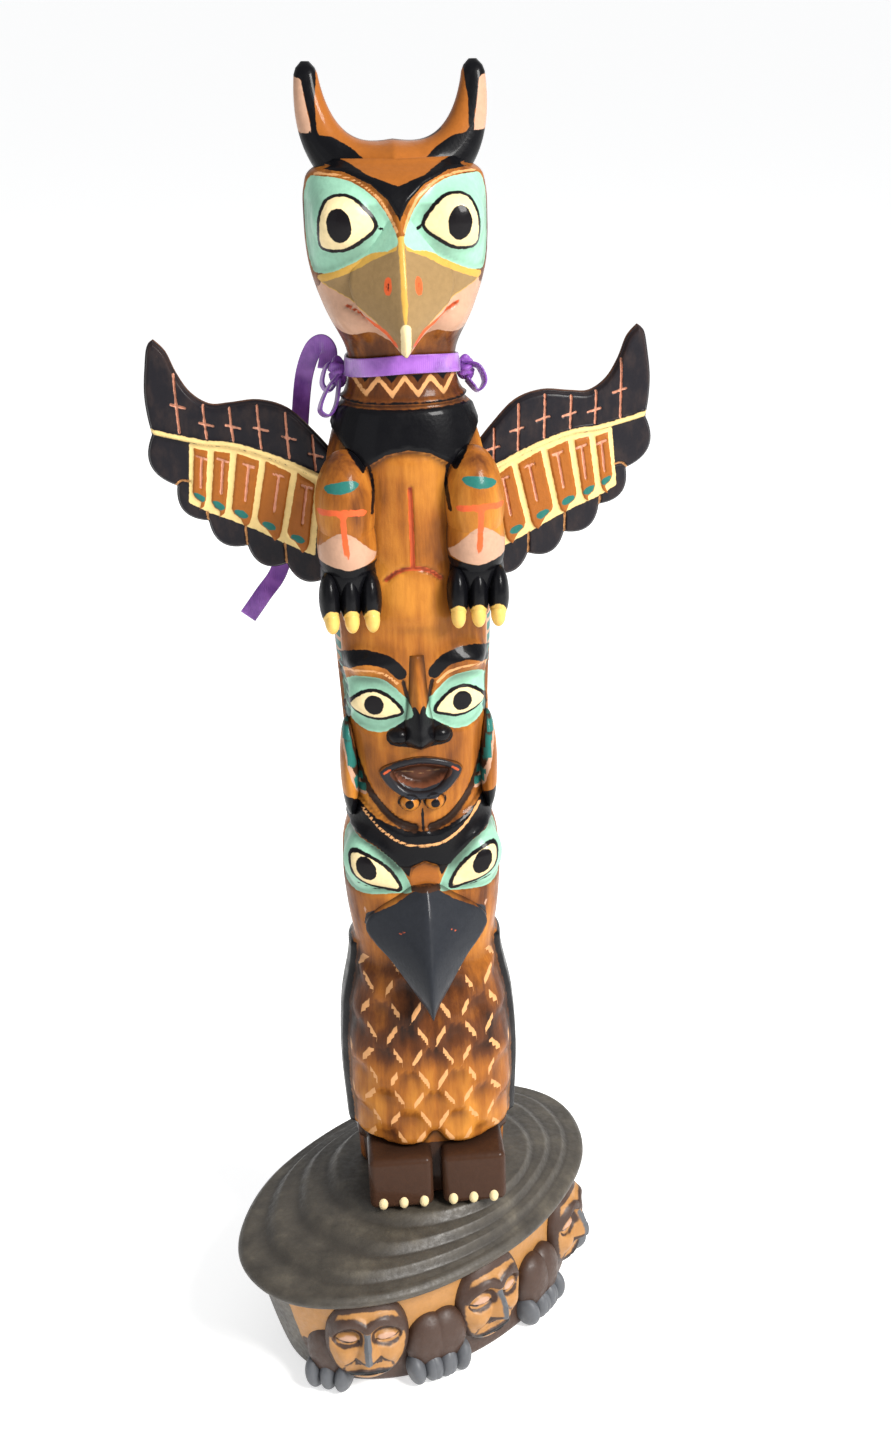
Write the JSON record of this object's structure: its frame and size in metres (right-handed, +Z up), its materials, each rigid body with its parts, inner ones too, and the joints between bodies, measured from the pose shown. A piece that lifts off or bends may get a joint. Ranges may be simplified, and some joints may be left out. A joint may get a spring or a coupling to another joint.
{
  "type": "carved totem pole ornament",
  "caption": "Small painted totem pole: horned winged bird over a human face over a beaked bird, on an oval clamshell plinth with masks and hands round its side, ribbon round the neck.",
  "frame": {"origin": "on the plinth's flat underside, below the pole's own axis", "axes": "+Z up along the pole, -Y the way the carved figures face, +X to the right of someone looking at the figures"},
  "size_m": [0.0892, 0.0765, 0.24],
  "materials": {
    "painted_figure": "cast resin, wood-stain brown with painted black, mint, cream and red under a satin varnish",
    "painted_wing": "cast resin, painted black with orange-brown feather panels and cream lines",
    "painted_shell": "cast resin, dark olive-brown, semi-matt",
    "satin": "narrow purple satin ribbon"
  },
  "bodies": {
    "root": {"pole": "painted_figure", "wing_left": "painted_wing", "wing_right": "painted_wing", "shell_plinth": "painted_shell", "neck_ribbon": "satin", "ribbon_tail": "satin"}
  },
  "joints": []
}
